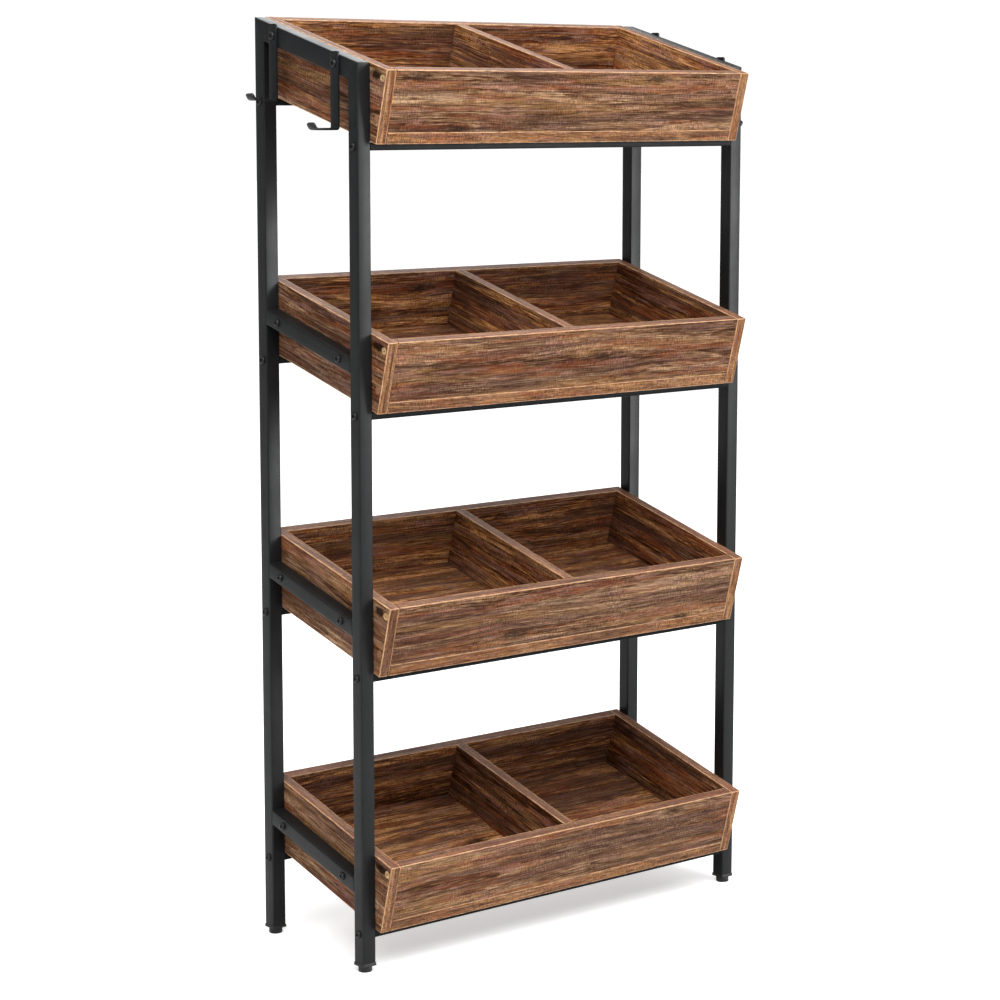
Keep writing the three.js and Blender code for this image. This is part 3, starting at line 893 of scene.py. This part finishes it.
def make_bin(tier):
    """Two sides with a floor, a front and a back between them, and a divider across the middle."""
    width = 2 * (INNER_X - BOARD_GAP)
    inside = width - 2 * BOARD - 2 * BOARD_GAP
    stand = BOARD + BOARD_GAP
    wall = BIN_HEIGHT - stand
    sheet = 5 * tier
    for side, sign in SIDES.items():
        x = -width / 2 if side == "left" else width / 2 - BOARD
        size = (BOARD, BIN_LENGTH, BIN_HEIGHT)
        drills = side_drills(tier, side, sign * width / 2)
        make_board(tier, f"{side}_side", (x, 0, 0), size, Y, sheet + (sign + 1) // 2, drills=drills)
    ends = [(X, -1), (X, 1)]
    base = (inside, BIN_LENGTH, BOARD)
    across = (inside, BOARD, wall)
    back = (-inside / 2, BIN_LENGTH - BOARD, stand)
    make_board(tier, "floor", (-inside / 2, 0, 0), base, X, sheet + 2, ends)
    make_board(tier, "front", (-inside / 2, 0, stand), across, X, sheet + 3, ends + [(Z, -1)])
    make_board(tier, "back", back, across, X, sheet + 4, ends + [(Z, -1)])
    middle = (BOARD, BIN_LENGTH - 2 * stand, wall)
    hidden = [(Y, -1), (Y, 1), (Z, -1)]
    make_board(tier, "divider", (-BOARD / 2, stand, stand), middle, Y, sheet + 4.5, hidden)


# Screws


def countersunk_screw():
    """The head of a wood screw with a cross recess, its top at the origin."""
    screw = rod("screw_model", SCREW_RADIUS, SCREW_RIM, (0, 0, -SCREW_RIM / 2))
    edit(screw, "FACE")
    pick(screw, "faces", facing(Z, -1))
    extrude(z=-SCREW_CONE)
    scale_across(SCREW_TAPER)
    extrude(z=-SCREW_STUB)
    for length, width in ((RECESS_LENGTH, RECESS_WIDTH), (RECESS_WIDTH, RECESS_LENGTH)):
        cut_away(screw, [block("arm", (length, width, 2 * RECESS_DEPTH))])
    soften(screw, width=0.25 * MM)
    coated(screw, BRIGHT_SCREW)
    return screw


def screw_cap():
    """A brown cap that covers a screw, its crown a little over the origin."""
    cap = rod("cap_model", CAP_RADIUS, CAP_HEIGHT, (0, 0, CAP_CROWN - CAP_HEIGHT / 2))
    edit(cap, "EDGE")
    pick(cap, "edges", edge_above(CAP_CROWN))
    bpy.ops.mesh.bevel(offset=CAP_ROUNDING, segments=4, affect="EDGES")
    leave_edit_mode()
    coated(cap, BROWN_CAP)
    return cap


def place_screws():
    """At each corner of a bin, a bare screw just below the surface and a capped one just above it."""
    screw = countersunk_screw()
    cap = screw_cap()
    x = INNER_X - BOARD_GAP
    kinds = ((screw, "screw", "frame_steel", SCREW_SUNK), (cap, "cap", "brown_board", CAP_SUNK))
    spin = 0.0
    for tier in TIERS:
        place = bin_place(tier)
        for side in SIDES:
            for end, along in (("front", SCREW_INSET), ("rear", BIN_LENGTH - SCREW_INSET)):
                for drop, (model, kind, slot, sunk) in zip(SCREW_DROPS, kinds):
                    spin += SCREW_SPIN
                    spot = place @ Vector((0, along, BIN_HEIGHT - drop))
                    matrix = outward(side, x - sunk, spot.y, spot.z, spin)
                    copied(model, f"bin_{tier}_{side}_{end}_{kind}", matrix)
    for model in (screw, cap):
        bpy.data.objects.remove(model)


# Feet


def make_insert(side, end):
    """A plastic plug in the post's end with a wide tapered rim."""
    node = f"{side}_{end}_insert"
    low, high = corners_of(node)
    plug = block(f"{node}_plug", (RIM_SIDE, RIM_SIDE, RIM_HEIGHT), (0, 0, low.z + RIM_HEIGHT / 2))
    edit(plug, "EDGE")
    pick(plug, "edges", edge_along(Z))
    bpy.ops.mesh.bevel(offset=RIM_CORNER, segments=4, affect="EDGES")
    bpy.ops.mesh.select_mode(type="FACE")
    pick(plug, "faces", facing(Z, 1))
    scale_across(RIM_TOP_SIDE / RIM_SIDE)
    extrude()
    scale_across(PLUG_SIDE / RIM_TOP_SIDE)
    extrude(z=high.z - low.z - RIM_HEIGHT)
    soften(plug, width=0.3 * MM)
    cut_away(plug, [rod("drill", STEM_RADIUS + STEM_CLEARANCE, THROUGH)])
    centre = (low + high) / 2
    moved_to(plug, Matrix.Translation((centre.x, centre.y, 0)))
    coated(plug, BLACK_PLASTIC)
    built_in(plug, node)


def levelling_foot():
    """A round pad on a threaded stem, standing on the floor at the origin."""
    foot = rod("foot_model", PAD_RADIUS, PAD_HEIGHT, (0, 0, PAD_HEIGHT / 2))
    edit(foot, "EDGE")
    pick(foot, "edges", edge_below(0))
    bpy.ops.mesh.bevel(offset=PAD_LOWER_ROUNDING, segments=3, affect="EDGES")
    pick(foot, "edges", edge_above(PAD_HEIGHT))
    bpy.ops.mesh.bevel(offset=PAD_UPPER_ROUNDING, segments=5, affect="EDGES")
    bpy.ops.mesh.select_mode(type="FACE")
    pick(foot, "faces", facing(Z, 1))
    bpy.ops.mesh.inset(thickness=PAD_RADIUS - PAD_UPPER_ROUNDING - STEM_RADIUS)
    for turn in range(int((STEM_TOP - PAD_HEIGHT) / THREAD_PITCH)):
        for factor in (THREAD_ROOT, 1 / THREAD_ROOT):
            extrude(z=THREAD_PITCH / 2)
            scale_across(factor)
    leave_edit_mode()
    coated(foot, BLACK_PLASTIC, smooth=28)
    return foot


def place_feet():
    """Each foot rides on its own body, because it screws out of its insert."""
    model = levelling_foot()
    for side in SIDES:
        for end in ENDS:
            node = f"{side}_{end}_foot"
            centre = middle_of(node)
            place = Matrix.Translation((centre.x, centre.y, 0))
            foot = copied(model, f"{node}_pad", place, f"{node}_body")
            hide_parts(node)
    bpy.data.objects.remove(model)


for side in SIDES:
    for end in ENDS:
        make_post(side, end)
        make_hook(side, end)
        make_insert(side, end)
    for tier in TIERS:
        make_rail(side, tier)
for tier in TIERS:
    for end in ENDS:
        make_beam(end, tier)
    make_bin(tier)
place_bolts()
place_screws()
place_feet()


# Studio


def make_camera():
    """The photograph's viewpoint: ahead and to the left of the rack, at the height of the top bin."""
    camera = bpy.data.objects.new("camera", bpy.data.cameras.new("camera"))
    bpy.context.scene.collection.objects.link(camera)
    yaw = math.radians(38.789)
    pitch = math.radians(7.7)
    camera.location = (-2.2228, -2.7485, 1.1057)
    camera.rotation_euler = (math.pi / 2 - pitch, 0, -yaw)
    camera.data.lens = 94.2
    camera.data.sensor_width = 36
    camera.data.shift_y = -0.04
    camera.data.clip_end = 100
    bpy.context.scene.camera = camera


def make_floor():
    select_none()
    bpy.ops.mesh.primitive_plane_add(size=60)
    floor = settled("studio_floor")
    floor.data.materials.append(studio_floor())


def make_sky():
    """Pale studio walls: their first strength lights the rack, and the second is what the camera sees."""
    world = bpy.data.worlds.new("studio_walls")
    bpy.context.scene.world = world
    world.use_nodes = True
    tree = world.node_tree
    tree.nodes.clear()
    seen = add(tree, "LightPath", out="Is Camera Ray")
    strength = add(tree, "MapRange", {0: seen, 3: 0.3, 4: 1.05})
    walls = add(tree, "Background", {"Color": (1, 1, 1, 1), "Strength": strength})
    add(tree, "OutputWorld", {"Surface": walls})


def make_overhead_light():
    """A broad light that shines down and a little to the back, for the soft shadow on the floor."""
    light = bpy.data.lights.new("overhead_light", "SUN")
    light.energy = 1.5
    light.angle = math.radians(26)
    lamp = bpy.data.objects.new("overhead_light", light)
    bpy.context.scene.collection.objects.link(lamp)
    lamp.rotation_euler = (math.radians(12), 0, 0)


def softbox(name, azimuth, elevation, distance, size, radiance, aim, only_gloss=False):
    """An area light round the rack; azimuth 0 is the front and 90 the right-hand side.

    aim is the height on the rack's axis that it points at, and radiance its brightness at any size.
    """
    width, height = size
    light = bpy.data.lights.new(name, "AREA")
    light.shape = "RECTANGLE"
    light.size = width
    light.size_y = height
    light.energy = radiance * math.pi * width * height
    lamp = bpy.data.objects.new(name, light)
    bpy.context.scene.collection.objects.link(lamp)
    a = math.radians(azimuth)
    e = math.radians(elevation)
    back = Vector((math.sin(a) * math.cos(e), -math.cos(a) * math.cos(e), math.sin(e)))
    lamp.location = Vector((0, 0, aim)) + back * distance
    lamp.rotation_euler = back.to_track_quat("Z", "Y").to_euler()
    lamp.visible_camera = False
    lamp.visible_diffuse = not only_gloss


make_camera()
make_floor()
make_sky()
make_overhead_light()
softbox("right_softbox", 39, 9, distance=3.0, size=(1.4, 1.9), radiance=11.6, aim=0.93, only_gloss=True)
softbox("left_softbox", -62, 50, distance=4.0, size=(3.2, 2.4), radiance=4.0, aim=0.6)
softbox("front_softbox", -12, 40, distance=2.6, size=(2.4, 1.6), radiance=5.1, aim=0.9)
softbox("back_softbox", 158, 36, distance=4.0, size=(3.2, 2.4), radiance=3.0, aim=0.6)
bpy.context.scene.view_settings.view_transform = "Standard"
